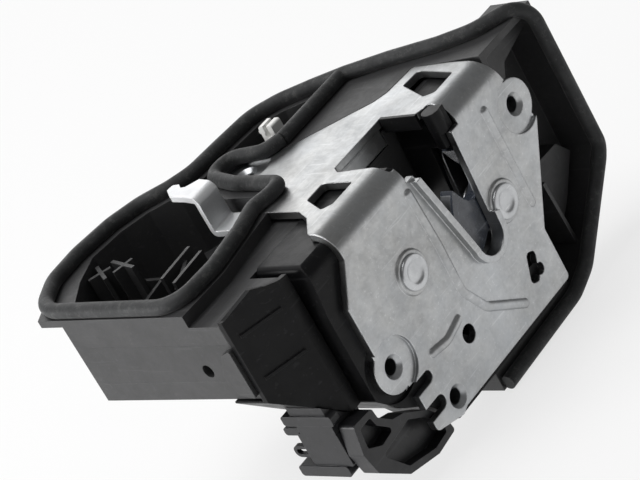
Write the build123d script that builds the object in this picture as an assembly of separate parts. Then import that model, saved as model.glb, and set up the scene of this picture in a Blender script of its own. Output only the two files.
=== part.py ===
from build123d import *
import math
import os

os.makedirs("parts", exist_ok=True)

# A side-door latch with its lock actuator, for the right-hand side of a vehicle.
# x runs up the door, y runs into it from the latch face, and z runs inboard.
# The origin is the centre of the latched striker bar, in the plane of the latch face.

# Striker and its slot
striker_r = 4.5
slot_end_r = 6.2
striker_inset = 41.0
striker_rise = 12.2
slot_mouth_low = -3.0
slot_mouth_high = 20.6
mouth_low = -9.0
mouth_high = 19.3
mouth_step = 24.5
latch_depth = 23.2
bay_edge = latch_depth + 0.8
mouth_depth = bay_edge - 0.3
mouth_rim = 8.0
lip_r = 4.0
lip_low = -6.6
lip_high = 16.5

# Latch plate, bent from one sheet
plate_t = 2.5
bend_r = 8.0
collar_t = 2.2
collar_h = 2.4
ear_r = 8.2
ear_pad_r = 9.4
ear_drop = 1.2
screw_r = 2.5
screw_rim_r = 3.9
screw_wall = 6.0
locating_r = 3.0
lower_screw = (-43.3, -46.9)
upper_screw = (50.8, -19.2)
tip_screw = (-28.1, -70.6)
locating_hole = (-12.3, -59.3)
deck_screw = (-4.0, 65.0)
bead_r = 1.75
bead_height = 1.1
part_gap = 0.3

# Claw and pawl
claw_pivot = (25.8, -38.1)
pawl_pivot = (-20.4, -29.7)
rivet_r = 4.0
rivet_gap = 0.06
rivet_head_r = 5.4
plateau_r = 7.2
plateau_h = 0.8
claw_swing = 75.0
claw_hub_r = 8.8
claw_r = 24.0
claw_root_r = 19.8
claw_t = 4.0
claw_skin = 0.8
claw_mouth = 2 * striker_r + 2.4
claw_liner = 1.3
claw_front = 3.0
claw_step_angle = 232.0
claw_half_angle = 262.0
claw_end_angle = 285.0
claw_jaw_angle = 128.0
pawl_swing = 7.0
pawl_hub_r = 8.0
pawl_nose_gap = 0.3
pawl_nose_angle = 10.0

spring_wire = 0.6
spring_turns = 1.5
spring_legs = (3.0, 7.0)
rivet_seat = 0.02
collar_wall = 2.2

# Rear plate and latch housing behind the claw
cavity_back = 12.3
back_plate_t = 2.0
latch_gap = 0.9
wall = 2.0
channel_gap = 1.0
bumper_t = 2.0

# Actuator housing, a tray that is open inboard, and its outboard cover
deck_drop = 4.0
tray_floor = -21.5
tray_floor_t = 3.0
cover_split = tray_floor - tray_floor_t
cover_floor = -31.0
cover_t = 2.0
step_top = -10.5
wall_hole = (34.6, -20.6)
rim_t = 2.5
rim_front = 4.3
end_tray_back = 20.0
end_wall = 2.3
end_edge = 80.2

# Door seal, a round rubber cord on a narrow foot
seal_r = 2.45
seal_sink = 0.4

# Lock drive: motor and worm, wheel with a pinion, and a sector lever
motor_axis = (45.0, -17.0)
motor_r = 9.5
motor_low = -2.0
motor_high = 22.0
bell_t = 3.0
motor_shaft_r = 1.0
shaft_end = 48.6
gear_module = 0.8
wheel_teeth = 18
wheel_t = 4.0
worm_low = 30.5
worm_high = 45.5
worm_pitch_r = 3.0
wheel_pitch_r = gear_module * wheel_teeth / 2
wheel_centre = (38.0, motor_axis[0] - worm_pitch_r - wheel_pitch_r)
pinion_module = 0.7
pinion_teeth = 10
sector_teeth = 50
pinion_r = pinion_module * pinion_teeth / 2
sector_r = pinion_module * sector_teeth / 2
sector_heading = 124.9
lock_swing = 26.0
lock_top = -3.8
lock_t = 1.7
lock_arm_r = 19.0
pin_r = 1.5
pin_gap = 0.05
lock_pivot = (
    wheel_centre[0] + (pinion_r + sector_r) * math.cos(math.radians(sector_heading)),
    wheel_centre[1] + (pinion_r + sector_r) * math.sin(math.radians(sector_heading)),
)
clip_heading = 116.0
clip_stub_r = 1.6

# Cover screws
cover_screws_at = [(-74.6, 60), (-16, 52), (25, 57.8), (47.3, 50.5), (-57, 34.05), (-40, 96)]
cover_screw_r = 1.25
cover_head_r = 2.3

# Release lever, a steel strip that stands up out of the tray
lever_foot = (-26.2, 59.4)
lever_turn = 92.0
lever_w = 9.6
lever_joggle = 8.0
lever_shelf = -4.5
lever_t = 2.0
lever_top = 9.0
lever_pivot_z = -13.0
lever_pin_r = 2.0
lever_foot_r = 4.8


def at(up, deep, inboard):
    """Point given from the corner where the plate's two faces would meet."""
    return Vector(up - striker_rise, deep, striker_inset + inboard)


latch_face = Plane(origin=at(0, 0, 0), x_dir=(1, 0, 0), z_dir=(0, -1, 0))
inboard_face = Plane(origin=at(0, 0, 0), x_dir=(1, 0, 0), z_dir=(0, 0, 1))
side_face = Plane(origin=at(0, 0, 0), x_dir=(0, 1, 0), z_dir=(1, 0, 0))


def outline(points, radius=0.0):
    """Closed outline with its corners rounded."""
    face = make_face(Polyline(*points, close=True))
    return fillet(face.vertices(), radius) if radius else face


def disc(centre, radius):
    return Pos(*centre) * Circle(radius)


def behind_face(sketch, near, far):
    """Solid between two depths behind the latch face, drawn as (up, inboard)."""
    return extrude(latch_face.offset(-near) * sketch, amount=-(far - near))


def above_deck(sketch, low, high):
    """Solid between two heights over the inboard face, drawn as (up, deep)."""
    return extrude(inboard_face.offset(low) * sketch, amount=high - low)


def across(sketch, low, high):
    """Solid between two levels up the door, drawn as (deep, inboard)."""
    return extrude(side_face.offset(low) * sketch, amount=high - low)


def polar(centre, radius, angle):
    turn = math.radians(angle)
    return (centre[0] + radius * math.cos(turn), centre[1] + radius * math.sin(turn))


def wedge(centre, radius, start, end):
    """Pie slice from one angle to another."""
    steps = max(2, math.ceil((end - start) / 30))
    rim = [polar(centre, 1.3 * radius, start + (end - start) * i / steps) for i in range(steps + 1)]
    return outline([centre] + rim) & disc(centre, radius)


def corner_radii(points, largest):
    """Bend radius for each inner corner, as large as its two runs allow."""
    radii = []
    for before, here, after in zip(points, points[1:], points[2:]):
        arrive = here - before
        leave = after - here
        half_turn = math.radians(arrive.get_angle(leave) / 2)
        room = 0.45 * min(arrive.length, leave.length) / math.tan(half_turn)
        radii.append(min(largest, room))
    return radii


def collar_pocket(centre):
    """Square pocket that clears the drawn collar round a screw."""
    side = 2 * (screw_r + collar_wall + part_gap)
    return Pos(*centre) * RectangleRounded(side, side, 1.0)


def coil(axis_plane, radius, wire, turns, legs):
    """Closely wound torsion spring with a straight leg from each end."""
    pitch = 2 * wire + 0.25
    helix = Helix(pitch=pitch, height=pitch * turns, radius=radius)
    section = Plane(origin=helix @ 0, z_dir=helix % 0) * Circle(wire)
    spring = sweep(section, path=helix, is_frenet=True)
    for end, out, length in ((0, -1, legs[0]), (1, 1, legs[1])):
        tip = Plane(origin=helix @ end, z_dir=(helix % end) * out)
        spring += extrude(tip * Circle(wire), amount=length)
    return axis_plane * spring


# Latch plate

slot_outline = outline(
    [
        (slot_mouth_low - 1.5, 3),
        (striker_rise - slot_end_r, -striker_inset),
        (striker_rise + slot_end_r, -striker_inset),
        (slot_mouth_high + 0.5, 3),
    ]
) + disc((striker_rise, -striker_inset), slot_end_r)

face_outline = (
    outline(
        [
            (-40.5, 3),
            (-40.5, -9.5),
            (-48.5, -22),
            (-48.5, -42),
            (-41.5, -56),
            (-41.5, -73),
            (-29.5, -76.5),
            (-26.5, -75.3),
            (36.1, -75.3),
            (36.1, -56.5),
            (56.0, -27.0),
            (50.0, -9.5),
            (46.5, 3),
        ],
        1.6,
    )
    + disc(lower_screw, ear_r)
    + disc(upper_screw, ear_r)
)

deck_outline = (
    outline(
        [
            (-40.5, -3),
            (-40.5, 9),
            (-32, 16),
            (-28.5, 22),
            (-27.5, 40),
            (-13, 47),
            (-12.2, 65),
            (4.2, 65),
            (5.0, 57),
            (29, 33.5),
            (34, 31.2),
            (47.4, 30.2),
            (47.8, 14),
            (46.5, -3),
        ],
        1.5,
    )
    + disc(deck_screw, ear_r)
)

window_low = outline([(-25.5, 10.1), (-14.6, 10.1), (-14.3, 22.9), (-22.8, 22.9), (-28.2, 13)], 1.4)
window_high = outline([(31, 9.4), (41.6, 9.4), (44.9, 26.2), (36.8, 26.8), (29, 12.8)], 1.4)


def bead(points):
    """Raised stiffening bead along a line on the latch face."""
    path = latch_face.offset(bead_height - bead_r) * FilletPolyline(*points, radius=6)
    section = Plane(origin=path @ 0, z_dir=path % 0) * Circle(bead_r)
    ends = [Pos(*(path @ end)) * Sphere(bead_r) for end in (0, 1)]
    return sweep(section, path=path) + ends


def straight_bead(start, end):
    path = latch_face.offset(bead_height - bead_r) * Line(start, end)
    section = Plane(origin=path @ 0, z_dir=path % 0) * Circle(bead_r)
    ends = [Pos(*(path @ end)) * Sphere(bead_r) for end in (0, 1)]
    return sweep(section, path=path) + ends


def bent_sheet():
    profile = outline([(0, -90), (0, 0), (90, 0), (90, -plate_t), (plate_t, -plate_t), (plate_t, -90)])
    outer = profile.vertices().sort_by_distance((0, 0))[0]
    profile = fillet(outer, bend_r)
    inner = profile.vertices().sort_by_distance((plate_t, -plate_t))[0]
    profile = fillet(inner, bend_r - plate_t)
    return across(profile, -60, 70)


def plate_ear(plate, centre, slab, shape):
    """Ear round a screw, pressed back from the face and tapped through a drawn collar."""
    plate -= slab(disc(centre, ear_pad_r), -1, ear_drop)
    plate += slab(disc(centre, ear_pad_r + 1.2) & shape, plate_t, plate_t + ear_drop)
    plate += slab(disc(centre, screw_r + collar_wall), ear_drop, screw_wall + ear_drop)
    return plate


def latch_plate():
    mask = behind_face(face_outline, -1, bend_r) + above_deck(deck_outline, -bend_r, 1)
    plate = bent_sheet() & mask
    plate = plate_ear(plate, lower_screw, behind_face, face_outline)
    plate = plate_ear(plate, upper_screw, behind_face, face_outline)

    def under_deck(sketch, near, far):
        return above_deck(sketch, -far, -near)

    plate = plate_ear(plate, deck_screw, under_deck, deck_outline)
    plate += behind_face(disc(tip_screw, screw_r + collar_wall), 0, screw_wall)

    collar_zone = outline([(-12, -9), (12, -9), (13, -34), (26, -40), (26, -54), (-12, -54)])
    collar = (offset(slot_outline, collar_t) - slot_outline) & collar_zone
    plate += behind_face(collar, -collar_h, 0)
    for centre in (claw_pivot, pawl_pivot):
        plate += extrude(latch_face * disc(centre, plateau_r), amount=plateau_h, taper=35)
    plate += bead([(-7, -11), (-6.2, -30), (-6.6, -48), (-1, -58), (14, -68.5)])
    plate += bead([(-28.5, -53.6), (-21, -54.8), (-13.5, -53)])
    plate += straight_bead((36.5, -12), (36.5, -46.5))

    plate -= behind_face(slot_outline, -collar_h - 1, bend_r)
    bend_mouth = outline([(-5.5, -1), (mouth_step, -1), (mouth_step, mouth_rim), (-5.5, mouth_rim)], 1.5)
    plate -= above_deck(bend_mouth, -bend_r, 1)
    mouth = outline(
        [(-7.6, 2), (mouth_step - 2, 2), (mouth_step - 2, mouth_rim), (mouth_high, mouth_rim + 1.5)]
        + [(mouth_high, mouth_depth), (-6.6, mouth_depth), (mouth_low, mouth_depth - 3)],
        1.2,
    )
    plate -= above_deck(mouth, -bend_r, 1)
    plate += rolled_lip()
    plate -= above_deck(window_low + window_high, -bend_r, 1)

    notch = Pos(-41, -57.7) * SlotOverall(16.5, 4.2) + Pos(-41, -67.1) * SlotOverall(16.5, 4.8)
    plate -= behind_face(notch, -1, plate_t + 1)
    plate -= behind_face(disc(locating_hole, locating_r), -1, plate_t + 1)
    key_slot = outline([(20.1, -66.1), (24.0, -56.9), (28.2, -58.6), (24.3, -67.6)], 1.6)
    key_slot += disc((26.5, -64.6), 2.0)
    plate -= behind_face(key_slot, -1, plate_t + 1)
    for centre in (lower_screw, upper_screw, tip_screw):
        plate -= behind_face(disc(centre, screw_r), -1, 9)
    plate -= above_deck(disc(deck_screw, screw_r), -9, 1)
    for centre, drop in ((lower_screw, ear_drop), (upper_screw, ear_drop), (tip_screw, 0)):
        sink = latch_face.offset(-drop) * disc(centre, screw_rim_r)
        plate -= extrude(sink, amount=-(screw_rim_r - screw_r), taper=44.9)
    deck_rim = inboard_face.offset(-ear_drop) * disc(deck_screw, screw_rim_r)
    plate -= extrude(deck_rim, amount=-(screw_rim_r - screw_r), taper=44.9)
    for centre in (claw_pivot, pawl_pivot):
        plate -= behind_face(disc(centre, rivet_r), -2, plate_t + 1)
        plate -= behind_face(disc(centre, rivet_head_r), -2, -plateau_h + 0.5)
    return plate


def rolled_lip():
    """The sheet at the mouth's rear edge turns down round a soft bend."""
    centre = (mouth_depth + lip_r, -lip_r)
    ring = disc(centre, lip_r) - disc(centre, lip_r - 1.8)
    corner = Pos(centre[0] - lip_r, centre[1]) * Rectangle(lip_r, lip_r, align=Align.MIN)
    apron = Pos(mouth_depth, -8) * Rectangle(1.8, 8 - lip_r, align=Align.MIN)
    fill = Pos(centre[0], -plate_t) * Rectangle(0.5, plate_t, align=Align.MIN)
    return across((ring & corner) + apron + fill, lip_low, lip_high)


# Claw, pawl and what they turn on

mouth_heading = math.degrees(math.atan2(-striker_inset - claw_pivot[1], striker_rise - claw_pivot[0])) % 360
claw_back = claw_front + claw_skin + claw_t


def claw_mouth_shape(width):
    """U-shaped mouth that holds the striker, in the latched pose."""
    reach = 1.5 * claw_r
    bar = Pos(reach / 2, 0) * Rectangle(reach, width)
    return Pos(striker_rise, -striker_inset) * (Rot(0, 0, mouth_heading) * bar + Circle(width / 2))


def claw_blank():
    """Claw outline in the latched pose: hook, kicker lobe with two ratchet steps, and hub."""
    jaws = wedge(claw_pivot, claw_root_r, claw_jaw_angle, claw_end_angle)
    hook = wedge(claw_pivot, claw_r, claw_jaw_angle, mouth_heading)
    lobe = disc(claw_pivot, claw_hub_r)
    for start, end in ((claw_step_angle, claw_half_angle), (claw_half_angle, claw_end_angle)):
        ramp = [claw_pivot]
        for i in range(7):
            share = i / 6
            radius = claw_r - (claw_r - claw_root_r) * share ** 2
            ramp.append(polar(claw_pivot, radius, start + (end - start) * share))
        lobe += outline(ramp)
    return jaws + hook + lobe


def opened(sketch):
    """The latched claw outline turned back to where the open latch holds it."""
    return Pos(*claw_pivot) * Rot(0, 0, -claw_swing) * Pos(-claw_pivot[0], -claw_pivot[1]) * sketch


def claw():
    shape = claw_blank() - claw_mouth_shape(claw_mouth + 2 * claw_liner)
    shape -= disc(claw_pivot, rivet_r + rivet_gap)
    return behind_face(opened(shape), claw_front + claw_skin, claw_back)


def claw_jacket():
    """Moulded skin on the claw: quiet liner in the mouth and a smooth front face."""
    skin = claw_blank() - claw_mouth_shape(claw_mouth) - disc(claw_pivot, rivet_r + 1.2)
    liner = claw_blank() & (claw_mouth_shape(claw_mouth + 2 * claw_liner) - claw_mouth_shape(claw_mouth))
    front = behind_face(opened(skin), claw_front, claw_front + claw_skin)
    return front + behind_face(opened(liner), claw_front, claw_back)


def lifted(sketch):
    """The engaged pawl outline swung back clear of the claw."""
    return Pos(*pawl_pivot) * Rot(0, 0, -pawl_swing) * Pos(-pawl_pivot[0], -pawl_pivot[1]) * sketch


def pawl():
    inner = claw_root_r + pawl_nose_gap
    flank = claw_step_angle - math.degrees(pawl_nose_gap / claw_r)
    outer = claw_r + 0.5
    nose = [polar(claw_pivot, inner, flank), polar(claw_pivot, inner, flank - pawl_nose_angle)]
    shoulder = polar(claw_pivot, outer, flank - pawl_nose_angle)
    heel = polar(claw_pivot, outer + 6.5, flank)
    arm_top = (pawl_pivot[0] + 0.75 * pawl_hub_r, pawl_pivot[1] + 0.55 * pawl_hub_r)
    arm_low = (pawl_pivot[0] - 0.7 * pawl_hub_r, pawl_pivot[1] - 0.7 * pawl_hub_r)
    shape = outline(nose + [shoulder, arm_top, arm_low, (-5.0, -56.5), heel]) + disc(pawl_pivot, pawl_hub_r)
    shape += outline([(-27, -33), (-38, -38), (-37, -43), (-24, -37)], 1.5)
    shape -= disc(pawl_pivot, rivet_r + rivet_gap)
    return behind_face(lifted(shape), claw_front + claw_skin, claw_back)


def rivet(centre):
    """Shouldered pivot rivet, staked over on both plates."""
    front = -plateau_h + 0.5
    back = cavity_back + back_plate_t
    body = behind_face(disc(centre, rivet_r), front, back)
    head = extrude(latch_face.offset(-front) * disc(centre, rivet_head_r), amount=0.6, taper=30)
    dimple = latch_face.offset(-front + 0.6) * disc(centre, 2.4)
    tail = extrude(latch_face.offset(-back) * disc(centre, rivet_head_r), amount=-1.2, taper=25)
    return body + head + tail - extrude(dimple, amount=-0.35)


def back_plate():
    """Steel plate that carries the rear ends of both rivets and bridges under the slot."""
    shape = outline(
        [(-31, -19), (-10, -19), (-3.5, -44), (4.2, -53.5), (20.2, -53.5), (21.9, -40), (24.0, -17)]
        + [(38, -17), (37, -46.5), (31.5, -57.5), (30, -69), (-4, -69), (-31, -46)],
        3.0,
    )
    shape -= disc(claw_pivot, rivet_r + rivet_seat) + disc(pawl_pivot, rivet_r + rivet_seat)
    return behind_face(shape, cavity_back, cavity_back + back_plate_t)


def pivot_spring(pivot, radius, heading):
    """Torsion spring round a pivot rivet, between the lever and the rear plate."""
    turn = math.radians(heading)
    origin = at(pivot[0], claw_back + spring_wire + part_gap, pivot[1])
    plane = Plane(origin=origin, x_dir=(math.cos(turn), 0, math.sin(turn)), z_dir=(0, 1, 0))
    return coil(plane, radius, spring_wire, spring_turns, spring_legs)


# Latch housing

housing_outline = outline(
    [
        (-52.5, -3.0),
        (-54.5, -20),
        (-54.5, -51),
        (-46.5, -60),
        (-38.0, -66),
        (-30.0, -78),
        (35.3, -78),
        (35.3, -57),
        (46.5, -40),
        (46.5, -3.0),
    ],
    2.0,
)
channel_outline = offset(slot_outline, channel_gap) & outline([(-30, -70), (60, -70), (60, 2), (-30, 2)])
claw_cavity = wedge(claw_pivot, claw_r + latch_gap, 45, 292) + disc(claw_pivot, claw_hub_r + 1.5)
pawl_cavity = outline(
    [(-13, -20.5), (12, -50), (14.5, -63.5), (6, -66.5), (-9, -63), (-28, -43), (-40, -46), (-41, -36), (-29, -28)],
    1.5,
) + disc(pawl_pivot, pawl_hub_r + 1.5)
back_room = outline(
    [(-33, -17), (-8.5, -17), (-3, -42), (4.5, -52), (19.8, -52), (20.3, -40), (22.8, -15)]
    + [(40, -15), (39, -47), (33.3, -58), (32, -71), (-4, -71), (-33, -48)],
    3.0,
)
rear_cell = [(-50, -8), (-36, -8), (-36, -44), (-50, -44)]
guide_edge = 17.8


def latch_housing():
    """Moulded case behind the latch plate, with the striker channel and an open back."""
    body = behind_face(housing_outline, plate_t, latch_depth)
    body -= bend_room()
    body -= behind_face(claw_cavity + pawl_cavity, 0, cavity_back)
    body -= behind_face(back_room, cavity_back, latch_depth + 1)
    body -= behind_face(channel_outline, 0, latch_depth + 1)
    slot_end = disc((striker_rise, -striker_inset), slot_end_r + channel_gap + bumper_t)
    body -= behind_face(slot_end, cavity_back + back_plate_t, latch_depth + 1)
    for centre in (lower_screw, upper_screw, tip_screw):
        body -= behind_face(disc(centre, screw_r + collar_wall + part_gap), 0, screw_wall + ear_drop + 2)
    for centre in (lower_screw, upper_screw):
        body -= behind_face(disc(centre, ear_pad_r + 1.6), 0, plate_t + ear_drop)
    body -= behind_face(outline(rear_cell, 1.5), cavity_back, latch_depth + 1)
    body += mouth_guide()
    rear_notch = outline([(3.5, -73), (32.5, -73), (32.5, -76), (3.5, -76)], 1.0)
    body -= behind_face(rear_notch, cavity_back, latch_depth + 1)
    return body


def mouth_guide():
    """Lip along the mouth's upper edge and rounded post that lead the striker in."""
    ledge_base = -plate_t - part_gap - 1.8
    lip_width = mouth_high - part_gap - guide_edge
    lip = Pos(guide_edge, ledge_base) * Rectangle(lip_width, 0.4 - ledge_base, align=Align.MIN)
    ledge = Pos(guide_edge, ledge_base) * Rectangle(5.0, 1.8, align=Align.MIN)
    guide = behind_face(lip + ledge, mouth_rim + part_gap, latch_depth)
    nose = disc((guide_edge + 3.1, 4.4), 3.1)
    nose += Pos(guide_edge + 3.1, 4.4) * Rectangle(3.0, 5.6, align=(Align.MIN, Align.CENTER))
    nose &= Pos(0, 0.6) * Rectangle(60, 7.0, align=(Align.CENTER, Align.MIN))
    guide += above_deck(nose, -bend_r + 0.3, -0.2)
    behind = nose & Pos(0, plate_t + part_gap) * Rectangle(60, 7.0, align=(Align.CENTER, Align.MIN))
    return guide + above_deck(behind, -12.4, -bend_r + 0.3)


def bend_room():
    """Space that the plate's bend and inboard face take from the case."""
    corner = Pos(0, -bend_r) * Rectangle(bend_r, bend_r + 2, align=Align.MIN)
    quarter = corner - disc((bend_r, -bend_r), bend_r - plate_t)
    strip = Pos(bend_r, -plate_t) * Rectangle(latch_depth, plate_t + 5, align=Align.MIN)
    return across(quarter + strip, -60, 70)


def slot_bumper():
    """Rubber horseshoe that stops the striker at the end of the channel."""
    centre = (striker_rise, -striker_inset)
    outer = slot_end_r + channel_gap + bumper_t - 0.05
    ring = disc(centre, outer) - disc(centre, slot_end_r)
    lower = Rectangle(2 * outer, outer, align=(Align.CENTER, Align.MIN))
    lower = Pos(striker_rise, -striker_inset - outer) * lower
    return behind_face(ring & lower, cavity_back + back_plate_t, latch_depth - 1)


# Door seal

inner_run = [
    (44.0, 57.8),
    (9.2, 57.4),
    (3.0, 60.0),
    (1.0, 74.4),
    (-9.4, 74.4),
    (-13.6, 60.0),
    (-15.2, 38.6),
    (-22.0, 38.6),
    (-27.5, 40.8),
    (-39.0, 37.0),
    (-57.0, 33.6),
    (-75.6, 34.5),
    (-75.6, 94.2),
]
outer_run = [
    (-60.4, 103.1),
    (-46.6, 104.2),
    (-31.5, 102.0),
    (-21.0, 97.2),
    (-13.1, 90.2),
    (-5.5, 86.1),
    (8.8, 85.1),
    (24.7, 83.5),
    (32.9, 76.6),
    (39.4, 66.7),
    (45.1, 56.6),
    (51.2, 41.6),
    (56.4, 24.5),
    (61.8, 13.8),
]
end_run = [(77.4, -53.3), (74.6, -56.9), (46.6, -79.2), (36.6, -82.6), (-6.0, -83.7)]
seal_height = seal_r - seal_sink


def seal_cord(points):
    path = FilletPolyline(*points, radius=corner_radii(points, 14))
    section = Plane(origin=path @ 0, z_dir=path % 0) * Circle(seal_r)
    return sweep(section, path=path)


def seal():
    """Round cord along the tray's edge, down the end face and round the inner loop."""
    corner = at(77.0, rim_front - seal_height, seal_height)
    end = [at(up, rim_front - seal_height, height) for up, height in end_run]
    inboard = [at(up, deep, seal_height) for up, deep in inner_run[1:] + outer_run]
    cord = seal_cord(inboard + [corner] + end)
    bridge = [at(up, deep, seal_height) for up, deep in (inner_run[0], inner_run[1])]
    link = Line(*bridge)
    cord += sweep(Plane(origin=link @ 0, z_dir=link % 0) * Circle(seal_r - 0.05), path=link)
    cord -= above_deck(Pos(0, rim_front + 60) * Rectangle(200, 120), -100, 0)
    return cord


# Actuator housing and cover

rim_outline = outline(
    [
        (-77.8, 16),
        (-77.8, 95.8),
        (-60.5, 105.5),
        (-46.9, 106.6),
        (-30.8, 104.3),
        (-19.8, 99.2),
        (-12.0, 92.4),
        (-5.2, 88.5),
        (9.1, 87.5),
        (25.8, 85.8),
        (34.8, 78.0),
        (41.5, 67.9),
        (47.2, 57.6),
        (53.5, 42.4),
        (58.6, 25.3),
        (63.8, 15.5),
        (76, 6.5),
        (49.4, 6.5),
        (47.5, bay_edge),
        (-55.2, bay_edge),
        (-56, 7.4),
        (-60, 7.4),
    ],
)
case_outline = outline(
    [
        (-77.8, 18.4),
        (-77.8, 86.0),
        (-59.6, 98.3),
        (-46.6, 103.5),
        (-30.7, 101.2),
        (-19.6, 96.4),
        (-11.9, 89.7),
        (-5.1, 86.1),
        (9.2, 85.3),
        (24.9, 83.8),
        (32.6, 76.9),
        (39.4, 66.7),
        (44.9, 56.5),
        (51.2, 41.5),
        (56.4, 24.7),
        (60.0, 20.6),
        (48.0, 20.6),
        (48.0, bay_edge),
        (-55.2, bay_edge),
        (-55.2, 9.7),
        (-59.4, 9.7),
    ],
)
tray_outline = outline(
    [
        (-73.4, 46),
        (-73.4, 83.4),
        (-58.5, 93.7),
        (-45.9, 99.2),
        (-32.5, 97.4),
        (-23.0, 93.1),
        (-15.1, 86.1),
        (-7.6, 81.8),
        (7.8, 80.9),
        (22.7, 79.4),
        (29.8, 73.4),
        (35.6, 64.5),
        (37.6, 60.6),
        (9.8, 60.6),
        (6.3, 62.3),
        (4.9, 71.5),
        (1.5, 78.2),
        (-11.8, 77.2),
        (-18.9, 61.5),
        (-18.9, 46),
        (-27, 44.2),
        (-39, 40.3),
        (-57, 36.9),
        (-68.5, 37.5),
    ],
    1.5,
)
drive_outline = outline(
    [
        (-24, bay_edge + 2.2),
        (-24, 37),
        (-13.2, 40.8),
        (-12.9, 60),
        (-8, 70.5),
        (-1.5, 71),
        (0.5, 60),
        (6, 54.9),
        (40, 54.9),
        (47, 46),
        (52, 34),
        (52, bay_edge + 2.2),
    ],
    1.5,
)
side_outline = outline(
    [
        (-75, 20.5),
        (-60, 13.0),
        (-58.5, bay_edge + 2.2),
        (-27, bay_edge + 2.2),
        (-27, 36.8),
        (-57, 31.2),
        (-70, 31.2),
        (-75, 36),
    ],
    1.5,
)
end_outline = outline(
    [
        (end_edge, 0),
        (end_edge, -16),
        (end_edge - 1.4, -22),
        (end_edge - 1.4, -53.6),
        (74.6, -57.6),
        (65.4, -66),
        (56.6, -73.4),
        (47.8, -79.6),
        (37, -83.8),
        (28, -85),
        (-7, -86),
        (-7, -78.6),
        (36.0, -78.6),
        (36.0, -57.2),
        (47.2, -40.2),
        (47.2, -14),
        (49.4, -11),
        (49.4, 0),
    ]
)
end_recess = outline(
    [
        (end_edge - 1.4 - end_wall, -rim_t),
        (end_edge - 1.4 - end_wall, -52.6),
        (72.6, -56.2),
        (63.6, -64.4),
        (55.5, -72.0),
        (47.0, -77.6),
        (38.4, -80.8),
        (38.3, -57.8),
        (49.5, -40.8),
        (49.5, -15),
        (51.6, -12),
        (51.6, -rim_t),
    ],
    1.0,
)
end_panel = outline(
    [(55.1, -45.3), (67.6, -45.8), (72.2, -51.9), (60.6, -63.2), (53.9, -68.1), (51.4, -50.4)]
)
corner_web = outline([(49.5, -3), (76.9, -3), (76.9, -7), (62, -10.5), (53, -24), (49.5, -24)])


def end_tray():
    """Shallow tray across the end face, beside the latch, that carries the seal's end."""
    tray = behind_face(end_outline, rim_front, end_tray_back)
    tray -= behind_face(end_recess, 0, end_tray_back - tray_floor_t)
    tray += behind_face(end_panel, 10, end_tray_back)
    tray += behind_face(corner_web, 8, end_tray_back)
    heading = math.degrees(math.atan2(-73.3 + 50.4, 52.7 - 51.4))
    rib = Pos(52.0, -61.8) * Rot(0, 0, heading) * Rectangle(24, 1.4)
    tray += behind_face(rib & end_outline, 6.5, end_tray_back)
    return tray - behind_face(collar_pocket(upper_screw), 0, screw_wall + ear_drop + 2)


def actuator_housing():
    """Tray moulding: rim under the seal, well inside it, deck and drive compartment."""
    body = above_deck(rim_outline, -rim_t, 0) + above_deck(case_outline, cover_split, -rim_t) + end_tray()
    body -= above_deck(tray_outline, tray_floor, 1)
    deck_room = offset(deck_outline, part_gap)
    body -= above_deck(deck_room, -plate_t - ear_drop, 1)
    body -= above_deck(collar_pocket(deck_screw), -12, 1)
    lip_room = [(lip_low - 0.5, 23), (lip_high + 0.5, 23), (lip_high + 0.5, 28.1), (lip_low - 0.5, 28.1)]
    body -= above_deck(outline(lip_room), -8.6, 1)
    deck_zone = outline(
        [(-79, 10), (-60, 5), (-50, 5), (-26, 22), (-26, 36), (-39, 34), (-57, 30.6), (-79, 31)]
    )
    body -= above_deck(deck_zone, -deck_drop, 1)
    body -= above_deck(drive_outline, cover_split - 1, -plate_t - 0.2)
    body -= above_deck(side_outline, cover_split - 1, -deck_drop - wall)
    notch = outline([(14.5, 52), (36, 50), (36, 62), (14.5, 62)])
    body -= above_deck(notch, -7.6, -plate_t - 0.2)
    body -= across(disc(motor_axis, motor_shaft_r + pin_gap), 46, shaft_end + 0.4)
    body -= above_deck(disc(wheel_centre, pin_r + pin_gap), -4, -1.2)
    body += sector_post() + well_ribs() + screw_bosses()
    for centre in cover_screws_at:
        body -= above_deck(disc(centre, cover_screw_r + pin_gap), cover_split - 1, cover_split + 8)
    body -= side_step()
    hole = Pos(*wall_hole) * Ellipse(2.0, 2.3)
    body -= across(hole, -79, -74.6)
    return body + lever_post() + (side_lug() & lug_slab(cover_split, 0))


def side_step():
    """Long shallow step in the lower side wall, deeper towards the latch."""
    step = outline([(-79, 84), (-77.8, 83), (-76.7, 10), (-79, 10)])
    return above_deck(step, cover_floor - 1, step_top)


def side_lug():
    """Lug on the side wall that the side cover snaps behind."""
    shape = outline([(18.6, -11.9), (22.4, -13.2), (26.6, -20.6), (24.6, -27.8), (18.6, -29.2)], 0.6)
    return across(shape, -79.2, -76.3)


def lug_slab(low, high):
    """Slab used to share the lug between the housing and its cover."""
    return above_deck(Pos(0, 40) * Rectangle(220, 160), low, high)


def screw_bosses():
    """Boss in the well's far corner; the other screws go into solid wall."""
    return above_deck(disc(cover_screws_at[-1], 3.2), cover_split, -12)


def sector_post():
    """Boss in the compartment wall that carries the lock lever's pin."""
    web = outline([(22.8, 52), (29.2, 52), (29.2, 57), (22.8, 57)])
    post = above_deck(disc(lock_pivot, 3.2) + web, -13, lock_top - lock_t - part_gap)
    return post - above_deck(disc(lock_pivot, pin_r + pin_gap), -12, 0)


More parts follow.
